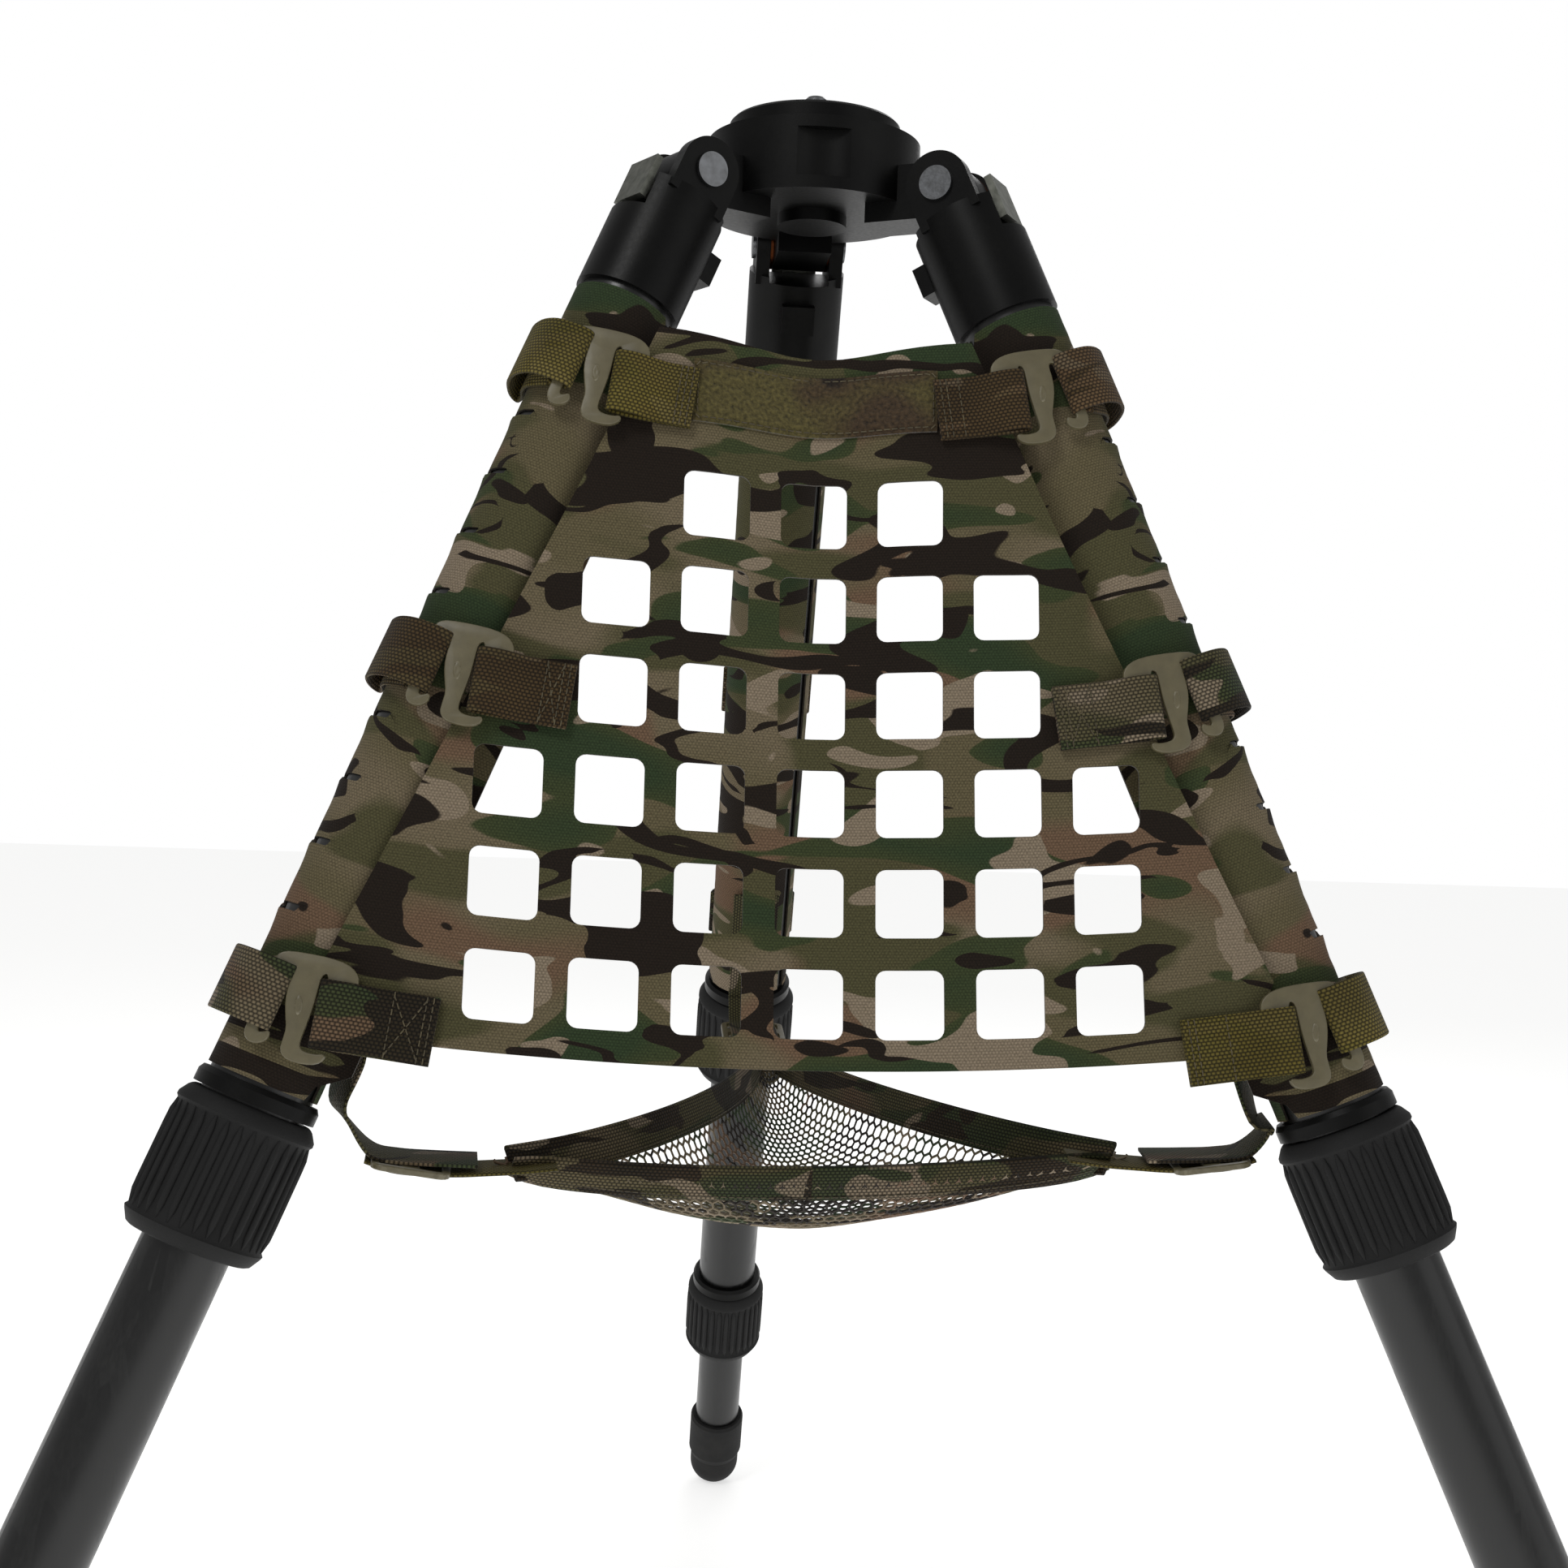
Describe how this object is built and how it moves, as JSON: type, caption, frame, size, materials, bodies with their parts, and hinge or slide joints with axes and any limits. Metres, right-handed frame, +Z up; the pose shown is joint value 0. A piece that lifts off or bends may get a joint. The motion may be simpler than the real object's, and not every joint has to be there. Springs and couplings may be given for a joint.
{
  "type": "camouflage-dressed field tripod",
  "caption": "Carbon field tripod with folding telescopic legs, carrying a camouflage leg-wrap set: laser-cut load panel, hooked straps and a hanging mesh tray.",
  "frame": {"origin": "centre of the bounding box's base, on the ground under the tripod", "axes": "+Z up, the panel faces -Y, X to the viewer's right when facing the panel"},
  "size_m": [0.7048, 0.6144, 0.7586],
  "materials": {
    "anodised_black": "satin black anodised",
    "carbon": "woven and forged carbon fibre under clear resin",
    "rubber": "moulded",
    "copper": "copper-coloured washer",
    "steel": "brushed",
    "latch_alloy": "bead-blasted, clear anodised",
    "camo_laminate": "woodland-pattern laminate, laser cut",
    "camo_webbing": "woven nylon webbing",
    "camo_mesh": "open knitted mesh",
    "camo_loop": "brushed loop tape",
    "hook_paint": "tan powder coat"
  },
  "bodies": {
    "hub": {"hub_casting": "anodised_black", "top_plate": "anodised_black", "top_stud": "steel", "panel": "camo_laminate", "loop_patch": "camo_loop", "panel_tabs_left": "camo_webbing", "panel_tabs_right": "camo_webbing", "tray_mesh": "camo_mesh", "tray_binding": "camo_webbing"},
    "left_leg": {"left_yoke": "anodised_black", "left_pin": "steel", "left_washers": "copper", "left_upper_tube": "carbon", "left_wrap": "camo_laminate", "left_ring_1": "anodised_black", "left_loops": "camo_webbing", "tray_strap_left": "camo_webbing", "left_hooks": "hook_paint", "tray_hook_left": "hook_paint"},
    "left_latch": {"left_latch": "latch_alloy"},
    "left_collar_1": {"left_grip_1": "rubber"},
    "left_mid": {"left_mid_tube": "carbon", "left_ring_2": "anodised_black"},
    "left_collar_2": {"left_grip_2": "rubber"},
    "left_low": {"left_low_tube": "carbon", "left_foot": "rubber"},
    "right_leg": {"right_yoke": "anodised_black", "right_pin": "steel", "right_washers": "copper", "right_upper_tube": "carbon", "right_wrap": "camo_laminate", "right_ring_1": "anodised_black", "right_loops": "camo_webbing", "tray_strap_right": "camo_webbing", "right_hooks": "hook_paint", "tray_hook_right": "hook_paint"},
    "right_latch": {"right_latch": "latch_alloy"},
    "right_collar_1": {"right_grip_1": "rubber"},
    "right_mid": {"right_mid_tube": "carbon", "right_ring_2": "anodised_black"},
    "right_collar_2": {"right_grip_2": "rubber"},
    "right_low": {"right_low_tube": "carbon", "right_foot": "rubber"},
    "rear_leg": {"rear_yoke": "anodised_black", "rear_pin": "steel", "rear_washers": "copper", "rear_upper_tube": "carbon", "rear_wrap": "camo_laminate", "rear_ring_1": "anodised_black", "rear_loops": "camo_webbing", "tray_strap_rear": "camo_webbing", "tray_hook_rear": "hook_paint"},
    "rear_latch": {"rear_latch": "latch_alloy"},
    "rear_collar_1": {"rear_grip_1": "rubber"},
    "rear_mid": {"rear_mid_tube": "carbon", "rear_ring_2": "anodised_black"},
    "rear_collar_2": {"rear_grip_2": "rubber"},
    "rear_low": {"rear_low_tube": "carbon", "rear_foot": "rubber"}
  },
  "joints": [
    {"name": "left_leg_fold", "type": "hinge", "parent": "hub", "child": "left_leg", "pos_m": [-0.05629, -0.1299, 0.71104], "axis": [0.5, -0.866, 0], "range_deg": [0, 17], "deforming": ["panel", "loop_patch", "panel_tabs_left", "tray_mesh", "tray_binding"]},
    {"name": "left_latch_pull", "type": "slide", "parent": "left_leg", "child": "left_latch", "axis": [-0.7849, -0.4532, 0.4226], "range_m": [0, 0.004], "stiffness_N_per_m": 400, "springref_m": -0.002},
    {"name": "left_collar_1_turn", "type": "hinge", "parent": "left_leg", "child": "left_collar_1", "pos_m": [-0.2166, -0.22245, 0.31408], "axis": [-0.366, -0.2113, -0.9063], "range_deg": [0, 90]},
    {"name": "left_mid_slide", "type": "slide", "parent": "left_leg", "child": "left_mid", "axis": [-0.366, -0.2113, -0.9063], "range_m": [-0.13, 0.12]},
    {"name": "left_collar_2_turn", "type": "hinge", "parent": "left_mid", "child": "left_collar_2", "pos_m": [-0.29236, -0.26619, 0.12647], "axis": [-0.366, -0.2113, -0.9063], "range_deg": [0, 90]},
    {"name": "left_low_slide", "type": "slide", "parent": "left_mid", "child": "left_low", "axis": [-0.366, -0.2113, -0.9063], "range_m": [-0.05, 0.14]},
    {"name": "right_leg_fold", "type": "hinge", "parent": "hub", "child": "right_leg", "pos_m": [0.05629, -0.1299, 0.71104], "axis": [0.5, 0.866, 0], "range_deg": [0, 17], "deforming": ["panel_tabs_right"]},
    {"name": "right_latch_pull", "type": "slide", "parent": "right_leg", "child": "right_latch", "axis": [0.7849, -0.4532, 0.4226], "range_m": [0, 0.004], "stiffness_N_per_m": 400, "springref_m": -0.002},
    {"name": "right_collar_1_turn", "type": "hinge", "parent": "right_leg", "child": "right_collar_1", "pos_m": [0.2166, -0.22245, 0.31408], "axis": [0.366, -0.2113, -0.9063], "range_deg": [0, 90]},
    {"name": "right_mid_slide", "type": "slide", "parent": "right_leg", "child": "right_mid", "axis": [0.366, -0.2113, -0.9063], "range_m": [-0.13, 0.12]},
    {"name": "right_collar_2_turn", "type": "hinge", "parent": "right_mid", "child": "right_collar_2", "pos_m": [0.29236, -0.26619, 0.12647], "axis": [0.366, -0.2113, -0.9063], "range_deg": [0, 90]},
    {"name": "right_low_slide", "type": "slide", "parent": "right_mid", "child": "right_low", "axis": [0.366, -0.2113, -0.9063], "range_m": [-0.05, 0.14]},
    {"name": "rear_leg_fold", "type": "hinge", "parent": "hub", "child": "rear_leg", "pos_m": [0, -0.0324, 0.71104], "axis": [-1, 0, 0], "range_deg": [0, 17]},
    {"name": "rear_latch_pull", "type": "slide", "parent": "rear_leg", "child": "rear_latch", "axis": [0, 0.9063, 0.4226], "range_m": [0, 0.004], "stiffness_N_per_m": 400, "springref_m": -0.002},
    {"name": "rear_collar_1_turn", "type": "hinge", "parent": "rear_leg", "child": "rear_collar_1", "pos_m": [0, 0.15271, 0.31408], "axis": [0, 0.4226, -0.9063], "range_deg": [0, 90]},
    {"name": "rear_mid_slide", "type": "slide", "parent": "rear_leg", "child": "rear_mid", "axis": [0, 0.4226, -0.9063], "range_m": [-0.13, 0.12]},
    {"name": "rear_collar_2_turn", "type": "hinge", "parent": "rear_mid", "child": "rear_collar_2", "pos_m": [0, 0.24019, 0.12647], "axis": [0, 0.4226, -0.9063], "range_deg": [0, 90]},
    {"name": "rear_low_slide", "type": "slide", "parent": "rear_mid", "child": "rear_low", "axis": [0, 0.4226, -0.9063], "range_m": [-0.05, 0.14]}
  ]
}
